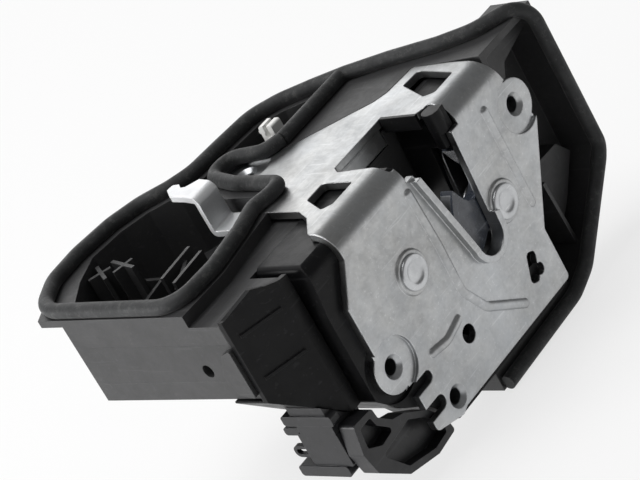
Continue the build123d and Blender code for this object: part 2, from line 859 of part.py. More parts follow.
def well_ribs():
    """Guide walls and stiffening ribs on the floor of the well."""
    ribs = Part()
    for start, end, top in (
        ((-54.5, 62), (-38.5, 63.5), -3),
        ((-57, 54.5), (-41, 56), -3),
        ((-57, 54.5), (-43, 62.5), -5),
        ((-48, 97), (-54.5, 87), -2),
        ((-55, 94.5), (-48.5, 90), -2),
        ((-45.5, 92), (-49, 79), -2),
        ((-51.5, 86), (-44.5, 83.5), -2),
        ((-68, 74), (-36, 80), -12),
        ((-38, 58), (-40, 97), -14),
    ):
        length = math.dist(start, end)
        heading = math.degrees(math.atan2(end[1] - start[1], end[0] - start[0]))
        middle = ((start[0] + end[0]) / 2, (start[1] + end[1]) / 2)
        bar = Pos(*middle) * Rot(0, 0, heading) * Rectangle(length, 1.3)
        ribs += above_deck(bar & tray_outline, tray_floor - 0.5, top)
    return ribs


def rear_cover():
    """Outboard cover, a shell that closes the compartments behind the housing."""
    shell = above_deck(case_outline, cover_floor, cover_split)
    shell -= above_deck(offset(case_outline, -cover_t), cover_floor + cover_t, cover_split + 1)
    for centre in cover_screws_at:
        shell += above_deck(disc(centre, cover_head_r + 0.9) & case_outline, cover_floor, cover_split)
    shell += above_deck(disc(wheel_centre, 3.2), cover_floor, cover_floor + cover_t + 1.5)
    shell -= above_deck(disc(wheel_centre, pin_r + pin_gap), cover_floor + 1, cover_split)
    for centre in cover_screws_at:
        shell -= above_deck(disc(centre, cover_screw_r + part_gap), cover_floor - 1, cover_split + 1)
        shell -= above_deck(disc(centre, cover_head_r + part_gap), cover_floor - 1, cover_floor + 2.0)
    shell -= side_step()
    return shell + (side_lug() & lug_slab(cover_floor, cover_split))


def cover_screws():
    """Self-tapping screws that hold the cover, seated in counterbores."""
    screws = []
    for centre in cover_screws_at:
        head = above_deck(disc(centre, cover_head_r), cover_floor + 0.3, cover_floor + 2.0)
        shank = above_deck(disc(centre, cover_screw_r), cover_floor + 2.0, cover_split + 7)
        screws.append(head + shank)
    return Compound(children=screws)


# Side cover over the wiring, with the connector under it

gable = [(-78, -3.4), (-78, -3.0), (-67.1, 0.8), (-63.3, -0.9), (-58.4, -2.2), (-55.7, -2.5), (-55.7, -3.4)]
face_ribs = (-9.4, -24.7)
side_plan = [(-77.9, 16.3), (-60, 7.4), (-55.7, 7.4), (-55.7, 30), (-77.9, 30)]


def side_cover():
    """Cover with a gabled diagonal face and two ribs; its floor slopes down to the connector."""
    plan = outline(side_plan)
    front_wall = outline(side_plan[:3] + [(-55.7, 9.4), (-59.5, 9.4), (-77.9, 18.1)])
    block = above_deck(plan, -50, cover_floor - part_gap)
    block += above_deck(front_wall, cover_floor - 1, -rim_t - 0.1)
    block += above_deck(front_wall, -rim_t - 0.1, 2) & behind_face(outline(gable), 0, 25)
    block -= above_deck(offset(plan, -wall), -48, cover_floor + 1)
    slope = outline([(-80, -29.8), (-59, -50.8), (-59, -60), (-90, -60), (-90, -29.8)])
    block -= behind_face(slope, 0, 40)
    floor = outline(
        [(-77.9, -31.9), (-77.9, -29.3), (-60, -47.2), (-55.7, -47.2), (-55.7, -50), (-59.8, -50)]
    )
    block += behind_face(floor, 0, 40) & above_deck(plan, -60, cover_floor - part_gap)
    for height in face_ribs:
        rib = outline([(-75.4, 15.1), (-62.4, 8.6), (-62.7, 8.0), (-75.7, 14.5)])
        block += above_deck(rib, height - 0.5, height + 0.5)
    return block


pin_rows = (-65.0, -62.0, -59.0)
pin_levels = (-55.8, -60.2)
pin_w = 0.64


def pin_bars(width):
    """Six square contacts, drawn with their own width or with that of their holes."""
    section = [Pos(16, level) * Rectangle(9, width) for level in pin_levels]
    return [across(bar, up - width / 2, up + width / 2) for up in pin_rows for bar in section]


def connector_socket():
    """Shroud of the plug connection, with keying rails outside."""
    near, far = -68.0, -55.8
    body = across(outline([(9.5, -64.1), (25.5, -64.1), (25.5, -51.8), (9.5, -51.8)], 0.8), near, far)
    body -= across(outline([(14.5, -62.7), (27, -62.7), (27, -53.2), (14.5, -53.2)]), near + 1.5, far - 1.5)
    neck = outline([(near, -51.9), (near, -42.0), (-59.9, -50.1), (far, -50.1), (far, -51.9)])
    body += behind_face(neck, 9.5, 24)
    body += across(outline([(7.5, -48.6), (28, -48.6), (28, -45), (7.5, -45)], 1.0), near - 0.5, near + 3.0)
    body += across(outline([(24, -53.0), (31, -53.0), (31, -50.2), (24, -50.2)], 1.0), near + 0.6, near + 3.6)
    loop = outline([(24.6, -61.4), (31.6, -61.4), (31.6, -57.2), (24.6, -57.2)], 1.9)
    loop -= outline([(25.6, -60.3), (30.5, -60.3), (30.5, -58.3), (25.6, -58.3)], 0.9)
    body += across(loop, near + 0.6, near + 2.2)
    body += across(outline([(12, -67.8), (32.5, -67.8), (32.5, -64), (12, -64)], 1.0), near - 0.5, far)
    for bar in pin_bars(pin_w + 0.06):
        body -= bar
    return body


def connector_bracket():
    """Channel bracket that ties the connector to the tip of the latch housing."""
    shape = outline(
        [
            (-66, -50.5),
            (-57, -51.2),
            (-56.6, -55),
            (-52.2, -59.4),
            (-47.3, -61.0),
            (-38.6, -67.0),
            (-34.0, -73.5),
            (-33.0, -79.5),
            (-42.9, -80.5),
            (-56.2, -77),
            (-66.3, -68),
            (-68, -60),
        ],
        1.0,
    )
    body = behind_face(shape, 3.0, 9.2)
    upper = outline(
        [(-64.5, -53), (-59.2, -53), (-58.4, -56.5), (-53.2, -61.8), (-60, -62.6), (-65.3, -59.5)], 1.0
    )
    lower = outline(
        [(-62, -65.2), (-47, -63.8), (-40.2, -68.5), (-36.5, -74), (-36, -77.5), (-43, -78.2), (-55, -74.8)],
        1.0,
    )
    return body - behind_face(upper + lower, 2, 7.2)


# Release lever

across_strip = (math.sin(math.radians(lever_turn)), -math.cos(math.radians(lever_turn)), 0)
behind_strip = (math.cos(math.radians(lever_turn)), math.sin(math.radians(lever_turn)), 0)
lever_origin = at(lever_foot[0], lever_foot[1], 0)
lever_front = Plane(origin=lever_origin, x_dir=across_strip, z_dir=[-v for v in behind_strip])
lever_side = Plane(origin=lever_origin, x_dir=behind_strip, z_dir=across_strip)
lever_plan = Plane(origin=lever_origin, x_dir=across_strip, z_dir=(0, 0, 1))


def release_lever():
    """Steel strip with a joggled foot and a hooked tab bent back at its top."""
    half = lever_w / 2
    middle = lever_top - lever_t / 2
    foot = lever_pivot_z - lever_foot_r
    joggle = [(-lever_joggle, foot), (-lever_joggle, lever_shelf)]
    joggle += [(0, lever_shelf), (0, middle), (18, middle)]
    line = FilletPolyline(*joggle, radius=1.8)
    strip = extrude(lever_side * trace(line, lever_t), amount=half + 3, both=True)
    hook = [(half, 0), (6.2, 6.2), (2.6, 9.4), (2.4, 11.4), (4.4, 13.6), (4.3, 16.4)]
    hook += [(1.6, 16.8), (-2.2, 12.6), (-3.2, 6)]
    tab = outline([(-half, -14), (half, -14)] + hook + [(-half, 0)], 0.7)
    strip &= extrude(lever_plan * tab, amount=40, both=True)
    square = Pos(0, foot) * Rectangle(lever_w + 1, lever_foot_r, align=(Align.CENTER, Align.MIN))
    corners = lever_front.offset(lever_joggle) * (square - disc((0, lever_pivot_z), lever_foot_r))
    strip -= extrude(corners, amount=3, both=True)
    hole = lever_front.offset(lever_joggle) * disc((0, lever_pivot_z), lever_pin_r + pin_gap)
    return strip - extrude(hole, amount=3, both=True)


def lever_post():
    """Boss on the tray floor that carries the release lever's pin."""
    high = lever_pivot_z + 3.6
    block = Rectangle(8.4, high - tray_floor + 0.3, align=(Align.CENTER, Align.MIN))
    block = Pos(0, tray_floor - 0.3) * block
    post = extrude(lever_front.offset(lever_joggle - 6.6) * block, amount=3.6)
    hole = lever_front.offset(lever_joggle - 6.4) * disc((0, lever_pivot_z), lever_pin_r + pin_gap)
    return post - extrude(hole, amount=6)


def lever_pin():
    """Headed pin that the release lever turns on."""
    centre = (0, lever_pivot_z)
    shank = extrude(lever_front.offset(lever_joggle - 6.2) * disc(centre, lever_pin_r), amount=7.5)
    head = extrude(lever_front.offset(lever_joggle + 1.3) * disc(centre, lever_pin_r + 1.2), amount=0.8)
    return shank + head


def lever_spring():
    centre = lever_front * Pos(0, lever_pivot_z, lever_joggle - 2.5)
    plane = Plane(origin=centre.position, x_dir=across_strip, z_dir=lever_front.z_dir)
    return coil(plane, 2.9, 0.35, 0.95, (3.0, 3.0))


# Lock drive


def toothed(centre, pitch_r, module, count, first, total):
    """Straight-flanked teeth on a rim, with backlash left between the flanks."""
    step = 360 / total
    root = pitch_r - 1.1 * module
    tip = pitch_r + 0.8 * module
    teeth = []
    for i in range(count):
        middle = first + i * step
        low, high = middle - 0.26 * step, middle + 0.26 * step
        thin_low, thin_high = middle - 0.12 * step, middle + 0.12 * step
        teeth.append(
            outline(
                [
                    polar(centre, root - 0.4, low),
                    polar(centre, tip, thin_low),
                    polar(centre, tip, thin_high),
                    polar(centre, root - 0.4, high),
                ]
            )
        )
    return teeth


def worm_wheel():
    """Worm wheel with the lock's pinion on its hub."""
    middle = motor_axis[1]
    rim = disc(wheel_centre, wheel_pitch_r - 1.1 * gear_module)
    for tooth in toothed(wheel_centre, wheel_pitch_r, gear_module, wheel_teeth, 90, wheel_teeth):
        rim += tooth
    wheel = above_deck(rim, middle - wheel_t / 2, middle + wheel_t / 2)
    wheel += above_deck(disc(wheel_centre, pinion_r - 1.1 * pinion_module), middle, lock_top + part_gap)
    pinion = disc(wheel_centre, pinion_r - 1.1 * pinion_module)
    for tooth in toothed(wheel_centre, pinion_r, pinion_module, pinion_teeth, sector_heading, pinion_teeth):
        pinion += tooth
    wheel += above_deck(pinion, lock_top - lock_t - part_gap, lock_top + part_gap)
    return wheel - above_deck(disc(wheel_centre, pin_r + pin_gap), -40, 0)


def lock_lever():
    """Sector lever that the pinion swings; its long arm carries the rod clip."""
    sector = wedge(lock_pivot, sector_r - 1.1 * pinion_module, -72, -16)
    first = sector_heading - 180 - 1.5 * 360 / sector_teeth
    for tooth in toothed(lock_pivot, sector_r, pinion_module, 7, first, sector_teeth):
        sector += tooth
    sector -= disc(polar(lock_pivot, 11.5, -44), 3.0)
    clip = polar(lock_pivot, lock_arm_r, clip_heading)
    arm = disc(lock_pivot, 4.2) + disc(clip, 3.0)
    side = (2.4 * math.sin(math.radians(clip_heading)), -2.4 * math.cos(math.radians(clip_heading)))
    arm += outline(
        [
            (lock_pivot[0] + side[0], lock_pivot[1] + side[1]),
            (clip[0] + side[0], clip[1] + side[1]),
            (clip[0] - side[0], clip[1] - side[1]),
            (lock_pivot[0] - side[0], lock_pivot[1] - side[1]),
        ]
    )
    shape = sector + arm - disc(lock_pivot, pin_r + pin_gap) - disc(clip, clip_stub_r + pin_gap)
    return above_deck(shape, lock_top - lock_t, lock_top)


def lock_pin():
    shank = above_deck(disc(lock_pivot, pin_r), -12, lock_top)
    return shank + above_deck(disc(lock_pivot, pin_r + 1.0), lock_top, lock_top + 0.8)


def rod_clip():
    """Nylon clip for the lock rod, snapped into the end of the lock lever."""
    centre = polar(lock_pivot, lock_arm_r, clip_heading)
    base = lock_top - lock_t
    clip = above_deck(disc(centre, clip_stub_r), base - 0.6, lock_top)
    clip += above_deck(disc(centre, clip_stub_r + 0.5), base - 1.2, base - 0.1)
    clip += above_deck(disc(centre, 3.0), lock_top, lock_top + 1.2)
    left, right = centre[1] - 3, centre[1] + 3
    head = outline([(left, lock_top), (right, lock_top), (right, 3.6), (left, 3.6)], 0.8)
    head -= disc((centre[1], 0.4), 1.3) + Pos(centre[1], 2.2) * Rectangle(1.7, 3.6)
    clip += across(head, centre[0] - 2.4, centre[0] + 2.4)
    near, far = centre[1] + 2.4, centre[1] + 5.0
    latch = outline([(near, 3.6), (far, 1.2), (far, 0.2), (near, 0.6)], 0.3)
    return clip + across(latch, centre[0] - 1.2, centre[0] + 1.2)


def wheel_pin():
    return above_deck(disc(wheel_centre, pin_r), cover_floor + 1.1, -1.4)


def motor_can():
    """Drawn steel can of the motor, with a bearing boss at each end."""
    can = across(disc(motor_axis, motor_r), motor_low, motor_high)
    can += across(disc(motor_axis, 3.0), motor_high, motor_high + 1.5)
    return can - across(disc(motor_axis, motor_shaft_r + pin_gap), motor_low - 1, motor_high + 2)


def motor_end_bell():
    """Plastic end of the motor, with its two terminals."""
    bell = across(disc(motor_axis, motor_r - 0.3), motor_low - bell_t, motor_low)
    for deep in (motor_axis[0] - 4, motor_axis[0] + 4):
        tab = Pos(deep, lead_top + 2) * Rectangle(2.4, 4)
        bell += across(tab, motor_low - 2, motor_low - 1.2)
    return bell - across(disc(motor_axis, motor_shaft_r + pin_gap), motor_low - bell_t - 1, motor_low + 1)


def motor_shaft():
    return across(disc(motor_axis, motor_shaft_r), motor_low - bell_t - 1, shaft_end)


def worm():
    """Single-start worm pressed on the motor's shaft."""
    pitch = math.pi * gear_module
    root = worm_pitch_r - gear_module
    tip = worm_pitch_r + 0.8 * gear_module
    start = wheel_centre[0] - 2.5 * pitch
    plane = Plane(origin=at(start, *motor_axis), x_dir=(0, -1, 0), z_dir=(1, 0, 0))
    helix = Helix(pitch=pitch, height=5 * pitch, radius=root - 0.15)
    thread = outline([(0, -0.62), (tip - root + 0.15, -0.3), (tip - root + 0.15, 0.3), (0, 0.62)])
    section = Plane(origin=helix @ 0, x_dir=(1, 0, 0), z_dir=helix % 0) * thread
    body = across(disc(motor_axis, root), worm_low, worm_high)
    body += plane * sweep(section, path=helix, is_frenet=True)
    return body - across(disc(motor_axis, motor_shaft_r + 0.02), worm_low - 1, worm_high + 1)


# Switches and their carrier

lead_top = cover_floor + cover_t + 1.2
lead_outline = [(-22, 28), (30, 28), (30, 34), (4, 34), (4, 53), (-9, 53), (-9, 36), (-22, 36)]


def lead_frame():
    """Carrier plate with the printed leads of the motor and both switches."""
    shape = outline(lead_outline, 1.0)
    return above_deck(shape, cover_floor + cover_t, lead_top)


def switch(up, deep, heading):
    """Small plunger switch standing on the carrier."""
    body = Pos(up, deep) * Rectangle(8, 5.8)
    case = above_deck(body, lead_top, lead_top + 6.5)
    tip = Pos(up + 2.0 * heading, deep) * Rectangle(2.2, 1.6)
    return case + above_deck(tip, lead_top + 6.4, lead_top + 8.0)


def write(name, shape):
    export_step(shape, f"parts/{name}.step")


write("latch_plate", latch_plate())
write("claw", claw())
write("claw_jacket", claw_jacket())
write("pawl", pawl())
write("claw_rivet", rivet(claw_pivot))
write("pawl_rivet", rivet(pawl_pivot))
write("back_plate", back_plate())
write("claw_spring", pivot_spring(claw_pivot, 6.0, 180))
write("pawl_spring", pivot_spring(pawl_pivot, 5.6, 60))
write("latch_housing", latch_housing())
write("slot_bumper", slot_bumper())
write("seal", seal())
write("actuator_housing", actuator_housing())
write("rear_cover", rear_cover())
write("cover_screws", cover_screws())
write("side_cover", side_cover())
write("connector_socket", connector_socket())
write("connector_pins", Compound(children=pin_bars(pin_w)))
write("connector_bracket", connector_bracket())
write("release_lever", release_lever())
write("lever_pin", lever_pin())
write("lever_spring", lever_spring())
write("motor_can", motor_can())
write("motor_end_bell", motor_end_bell())
write("motor_shaft", motor_shaft())
write("worm", worm())
write("worm_wheel", worm_wheel())
write("wheel_pin", wheel_pin())
write("lock_lever", lock_lever())
write("lock_pin", lock_pin())
write("rod_clip", rod_clip())
write("lead_frame", lead_frame())
write("ajar_switch", switch(-17.5, 31.4, 1))
write("lock_switch", switch(25.0, 31.2, -1))
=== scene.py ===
import math
import bpy
from mathutils import Matrix, Vector


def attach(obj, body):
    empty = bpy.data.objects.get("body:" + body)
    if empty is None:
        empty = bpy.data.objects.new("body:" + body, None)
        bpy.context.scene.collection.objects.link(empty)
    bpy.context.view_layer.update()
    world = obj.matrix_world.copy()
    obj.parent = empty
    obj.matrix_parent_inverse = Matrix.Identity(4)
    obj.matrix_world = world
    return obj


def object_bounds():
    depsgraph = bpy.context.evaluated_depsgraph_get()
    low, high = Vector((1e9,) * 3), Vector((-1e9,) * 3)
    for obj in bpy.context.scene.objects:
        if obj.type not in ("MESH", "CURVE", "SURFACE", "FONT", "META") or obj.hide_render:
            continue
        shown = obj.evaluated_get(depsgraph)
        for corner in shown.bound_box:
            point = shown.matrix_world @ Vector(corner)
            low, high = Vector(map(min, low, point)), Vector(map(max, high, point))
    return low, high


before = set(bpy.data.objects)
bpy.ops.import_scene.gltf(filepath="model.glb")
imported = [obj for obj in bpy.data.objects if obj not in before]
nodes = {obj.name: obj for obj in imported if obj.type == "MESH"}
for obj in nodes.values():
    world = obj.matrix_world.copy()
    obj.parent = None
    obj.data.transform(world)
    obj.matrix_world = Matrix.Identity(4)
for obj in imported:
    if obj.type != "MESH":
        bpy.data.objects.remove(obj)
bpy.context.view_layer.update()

# Camera, from the plate's round holes in the photograph
CAMERA_PLACE = Vector((-0.5002, -0.5364, 0.3532))
CAMERA_RIGHT = Vector((0.54171212, -0.70928573, -0.45106732))
CAMERA_UP = Vector((0.60704901, -0.04105899, 0.79360296))
CAMERA_BACK = Vector((-0.58141163, -0.70372432, 0.40832905))
CAMERA_LENS = 150.84
SENSOR_WIDTH = 36.0

# Millimetres from the part's own up and inboard measures to the row frame
SLOT_RISE = 12.2
SLOT_INSET = 41.0

# Share of the floor that shows as plain white, so that the rest keeps the shadow
WHITE_SHARE = 0.72
WORLD_LIT = 0.20
FLOOR_HALF = 6.0


# Node-building helpers

def put(tree, kind, place=(0, 0), **settings):
    """A node of that kind; settings are its properties."""
    node = tree.nodes.new(kind)
    node.location = place
    for name, value in settings.items():
        setattr(node, name, value)
    return node


def feed(tree, value, socket):
    """A number, colour or other node's output goes into a socket."""
    if isinstance(value, bpy.types.NodeSocket):
        tree.links.new(value, socket)
    else:
        socket.default_value = value


def maths(tree, operation, first, second=0.0, place=(0, 0), clamp=False):
    node = put(tree, "ShaderNodeMath", place, operation=operation, use_clamp=clamp)
    feed(tree, first, node.inputs[0])
    feed(tree, second, node.inputs[1])
    return node.outputs[0]


def ramp(tree, value, low, high, out_low=0.0, out_high=1.0, place=(0, 0)):
    """The value's stretch from low to high, spread over out_low to out_high."""
    node = put(tree, "ShaderNodeMapRange", place, interpolation_type="SMOOTHSTEP")
    for socket, given in zip(node.inputs, (value, low, high, out_low, out_high)):
        feed(tree, given, socket)
    return node.outputs["Result"]


def blend_colour(tree, share, first, second, place=(0, 0)):
    node = put(tree, "ShaderNodeMix", place, data_type="RGBA", clamp_factor=True)
    feed(tree, share, node.inputs["Factor"])
    feed(tree, first, node.inputs["A"])
    feed(tree, second, node.inputs["B"])
    return node.outputs["Result"]


def effect(name, inputs, outputs):
    """An empty shader node group with those numbers in and out: its tree, input node and output node."""
    tree = bpy.data.node_groups.new(name, "ShaderNodeTree")
    for label, start in inputs.items():
        socket = tree.interface.new_socket(label, in_out="INPUT", socket_type="NodeSocketFloat")
        socket.default_value = start
    for label, kind in outputs.items():
        tree.interface.new_socket(label, in_out="OUTPUT", socket_type=kind)
    return tree, put(tree, "NodeGroupInput", (-900, 0)), put(tree, "NodeGroupOutput", (900, 0))


def noise(tree, scale, detail=3.0, roughness=0.55, vector=None, place=(0, 0)):
    node = put(tree, "ShaderNodeTexNoise", place)
    if vector is None:
        vector = put(tree, "ShaderNodeTexCoord", (place[0] - 200, place[1])).outputs["Object"]
    feed(tree, vector, node.inputs["Vector"])
    feed(tree, scale, node.inputs["Scale"])
    feed(tree, detail, node.inputs["Detail"])
    feed(tree, roughness, node.inputs["Roughness"])
    return node.outputs["Fac"]


# Effects that several finishes share

def make_soft_edges():
    """Edges rounded by a small radius, and how much a point lies on one."""
    numbers_out = {"Edge": "NodeSocketFloat", "Normal": "NodeSocketVector"}
    tree, given, out = effect("soft_edges", {"Radius": 0.0004, "Break Up": 600.0}, numbers_out)
    bevel = put(tree, "ShaderNodeBevel", (-600, 100), samples=6)
    feed(tree, given.outputs["Radius"], bevel.inputs["Radius"])
    flat = put(tree, "ShaderNodeNewGeometry", (-600, -100)).outputs["Normal"]
    dot = put(tree, "ShaderNodeVectorMath", (-400, 0), operation="DOT_PRODUCT")
    feed(tree, bevel.outputs["Normal"], dot.inputs[0])
    feed(tree, flat, dot.inputs[1])
    turn = maths(tree, "SUBTRACT", 1.0, dot.outputs["Value"], (-200, 0))
    mask = ramp(tree, turn, 0.02, 0.16, place=(0, 0))
    gaps = noise(tree, given.outputs["Break Up"], 4.0, 0.6, place=(-200, -300))
    patchy = ramp(tree, gaps, 0.38, 0.6, 0.15, 1.0, (0, -300))
    feed(tree, maths(tree, "MULTIPLY", mask, patchy, (300, 0)), out.inputs["Edge"])
    feed(tree, bevel.outputs["Normal"], out.inputs["Normal"])
    return tree


def make_mottle():
    """Broad uneven tone, as plating and moulded skins have."""
    tree, given, out = effect("mottle", {"Scale": 120.0, "Contrast": 1.0}, {"Tone": "NodeSocketFloat"})
    broad = noise(tree, given.outputs["Scale"], 5.0, 0.62, place=(-500, 100))
    finer = maths(tree, "MULTIPLY", given.outputs["Scale"], 6.0, (-700, -200))
    fine = noise(tree, finer, 4.0, 0.6, place=(-500, -200))
    broad_part = maths(tree, "MULTIPLY", broad, 0.7, (-250, 100))
    fine_part = maths(tree, "MULTIPLY", fine, 0.3, (-250, -200))
    both = maths(tree, "ADD", broad_part, fine_part, (-50, 0))
    middle = maths(tree, "SUBTRACT", both, 0.5, (150, 0))
    spread = maths(tree, "MULTIPLY", middle, given.outputs["Contrast"], (350, 0))
    feed(tree, maths(tree, "ADD", spread, 0.5, (550, 0), clamp=True), out.inputs["Tone"])
    return tree


def make_fine_grain():
    """The fine height of a moulded or rolled skin."""
    tree, given, out = effect("fine_grain", {"Scale": 2500.0, "Pits": 0.3}, {"Height": "NodeSocketFloat"})
    grain = noise(tree, given.outputs["Scale"], 3.0, 0.6, place=(-500, 100))
    cells = put(tree, "ShaderNodeTexVoronoi", (-500, -200), feature="F1")
    feed(tree, put(tree, "ShaderNodeTexCoord", (-700, -200)).outputs["Object"], cells.inputs["Vector"])
    feed(tree, maths(tree, "MULTIPLY", given.outputs["Scale"], 0.35, (-700, -350)), cells.inputs["Scale"])
    pits = ramp(tree, cells.outputs["Distance"], 0.0, 0.35, place=(-250, -200))
    sunk = maths(tree, "SUBTRACT", pits, 1.0, (-50, -200))
    kept = maths(tree, "MULTIPLY", sunk, given.outputs["Pits"], (150, -200))
    feed(tree, maths(tree, "ADD", grain, kept, (400, 0)), out.inputs["Height"])
    return tree


def make_hair_scratches():
    """Fine straight rubs in two directions."""
    numbers_in = {"Scale": 900.0, "Amount": 0.5}
    tree, given, out = effect("hair_scratches", numbers_in, {"Scratch": "NodeSocketFloat"})
    place = put(tree, "ShaderNodeTexCoord", (-900, 0)).outputs["Object"]
    marks = []
    directions = (((0.3, 0.2, 0.5), (0.05, 1.0, 1.0)), ((0.1, 0.9, -0.4), (1.0, 0.06, 1.0)))
    for number, (turn, stretch) in enumerate(directions):
        mapping = put(tree, "ShaderNodeMapping", (-700, -300 * number))
        feed(tree, place, mapping.inputs["Vector"])
        mapping.inputs["Rotation"].default_value = turn
        mapping.inputs["Scale"].default_value = stretch
        line = noise(tree, given.outputs["Scale"], 2.0, 0.5, mapping.outputs["Vector"], (-450, -300 * number))
        marks.append(ramp(tree, line, 0.64, 0.72, place=(-200, -300 * number)))
    both = maths(tree, "MAXIMUM", marks[0], marks[1], (100, 0))
    feed(tree, maths(tree, "MULTIPLY", both, given.outputs["Amount"], (400, 0)), out.inputs["Scratch"])
    return tree


def make_zinc_flower():
    """The faint crystal pattern of plated sheet."""
    tree, given, out = effect("zinc_flower", {"Scale": 500.0}, {"Tone": "NodeSocketFloat"})
    place = put(tree, "ShaderNodeTexCoord", (-900, 0)).outputs["Object"]
    cells = put(tree, "ShaderNodeTexVoronoi", (-500, 0), feature="F1")
    wander = put(tree, "ShaderNodeTexNoise", (-700, -200))
    feed(tree, place, wander.inputs["Vector"])
    feed(tree, given.outputs["Scale"], wander.inputs["Scale"])
    bent = put(tree, "ShaderNodeVectorMath", (-600, 0), operation="MULTIPLY_ADD")
    feed(tree, wander.outputs["Color"], bent.inputs[0])
    bent.inputs[1].default_value = (0.0022, 0.0022, 0.0022)
    feed(tree, place, bent.inputs[2])
    feed(tree, bent.outputs["Vector"], cells.inputs["Vector"])
    feed(tree, given.outputs["Scale"], cells.inputs["Scale"])
    tone = put(tree, "ShaderNodeSeparateColor", (-200, 0))
    feed(tree, cells.outputs["Color"], tone.inputs["Color"])
    feed(tree, tone.outputs[0], out.inputs["Tone"])
    return tree


SOFT_EDGES = make_soft_edges()
MOTTLE = make_mottle()
FINE_GRAIN = make_fine_grain()
HAIR_SCRATCHES = make_hair_scratches()
ZINC_FLOWER = make_zinc_flower()


def use(tree, group, place=(0, 0), **values):
    """The effect placed in a material with its own values."""
    node = put(tree, "ShaderNodeGroup", place, node_tree=group)
    for label, value in values.items():
        feed(tree, value, node.inputs[label.replace("_", " ")])
    return node.outputs


def rgb(red, green, blue):
    return (red, green, blue, 1.0)


def skin(name, metallic, specular=0.5):
    """A new material, its tree and its Principled BSDF."""
    material = bpy.data.materials.new(name)
    material.use_nodes = True
    tree = material.node_tree
    shader = tree.nodes["Principled BSDF"]
    shader.location = (700, 0)
    shader.inputs["Metallic"].default_value = metallic
    shader.inputs["Specular IOR Level"].default_value = specular
    return material, tree, shader


def bumped(tree, height, depth, normal, place=(400, -400)):
    """A Bump node over the rounded edges; depth in metres."""
    bump = put(tree, "ShaderNodeBump", place)
    bump.inputs["Strength"].default_value = 1.0
    bump.inputs["Distance"].default_value = depth
    feed(tree, height, bump.inputs["Height"])
    feed(tree, normal, bump.inputs["Normal"])
    return bump.outputs["Normal"]


def edge_highlight_and_rubs(tree, edges, share, rubs, base, rub_and_highlight_colour):
    """The base colour with paler edges and with rubs. The edges are partly wear and partly painted highlight.
    """
    # Paler rounded edges: partly wear, partly a painted highlight
    edge_highlight = maths(tree, "MULTIPLY", edges["Edge"], share, (-100, 400))
    marks = maths(tree, "MAXIMUM", edge_highlight, rubs, (0, 0))
    return blend_colour(tree, marks, base, rub_and_highlight_colour, (250, 200))


def uneven_sheen(tree, shader, tone, rough, duller, shinier):
    """Roughness that follows the tone: duller where it is dark, shinier where it is light."""
    spread = ramp(tree, tone, 0.2, 0.8, rough + duller, rough - shinier, (250, -100))
    feed(tree, spread, shader.inputs["Roughness"])


def plated_sheet(name, light, dark, tint, rub_and_highlight_colour, rough, flower, scratch, edge):
    """Zinc on pressed sheet: broad mottle, fine speckle, faint crystals, rubs, and bright edges that are
    partly wear and partly painted highlight.
    """
    material, tree, shader = skin(name, 1.0)
    edges = use(tree, SOFT_EDGES, (-600, 300), Radius=edge, Break_Up=700.0)
    tone = use(tree, MOTTLE, (-600, 0), Scale=38.0, Contrast=3.6)["Tone"]
    speckle = use(tree, MOTTLE, (-600, -100), Scale=900.0, Contrast=2.4)["Tone"]
    crystals = use(tree, ZINC_FLOWER, (-600, -200), Scale=flower)["Tone"]
    rubs = use(tree, HAIR_SCRATCHES, (-600, -400), Scale=scratch, Amount=0.22)["Scratch"]
    speckle_part = maths(tree, "MULTIPLY", speckle, 0.30)
    crystal_part = maths(tree, "MULTIPLY", crystals, 0.12)
    fine = maths(tree, "ADD", speckle_part, crystal_part, (-300, -100))
    mix = maths(tree, "ADD", maths(tree, "MULTIPLY", tone, 0.58, (-400, 0)), fine, (-200, 0))
    base = blend_colour(tree, mix, dark, light, (0, 200))
    cool = use(tree, MOTTLE, (-600, 200), Scale=22.0, Contrast=3.0)["Tone"]
    base = blend_colour(tree, maths(tree, "MULTIPLY", cool, 0.5), base, tint, (120, 260))
    feed(tree, edge_highlight_and_rubs(tree, edges, 0.55, rubs, base, rub_and_highlight_colour), shader.inputs["Base Color"])
    uneven_sheen(tree, shader, mix, rough, 0.07, 0.05)
    raised = maths(tree, "MULTIPLY", crystals, 0.3, (0, -400))
    cut = maths(tree, "MULTIPLY", rubs, -0.8, (0, -500))
    height = maths(tree, "ADD", raised, cut, (200, -400))
    feed(tree, bumped(tree, height, 0.00002, edges["Normal"]), shader.inputs["Normal"])
    return material


def machined_metal(name, light, dark, rub_and_highlight_colour, rough, scratch, edge):
    """Turned, drawn or stamped metal: streaky tone, fine rubs, and bright edges that are partly wear and
    partly painted highlight.
    """
    material, tree, shader = skin(name, 1.0)
    edges = use(tree, SOFT_EDGES, (-600, 300), Radius=edge, Break_Up=900.0)
    tone = use(tree, MOTTLE, (-600, 0), Scale=160.0, Contrast=2.0)["Tone"]
    rubs = use(tree, HAIR_SCRATCHES, (-600, -300), Scale=scratch, Amount=0.5)["Scratch"]
    base = blend_colour(tree, tone, dark, light, (0, 200))
    feed(tree, edge_highlight_and_rubs(tree, edges, 0.7, rubs, base, rub_and_highlight_colour), shader.inputs["Base Color"])
    uneven_sheen(tree, shader, tone, rough, 0.06, 0.04)
    feed(tree, bumped(tree, rubs, -0.00001, edges["Normal"]), shader.inputs["Normal"])
    return material


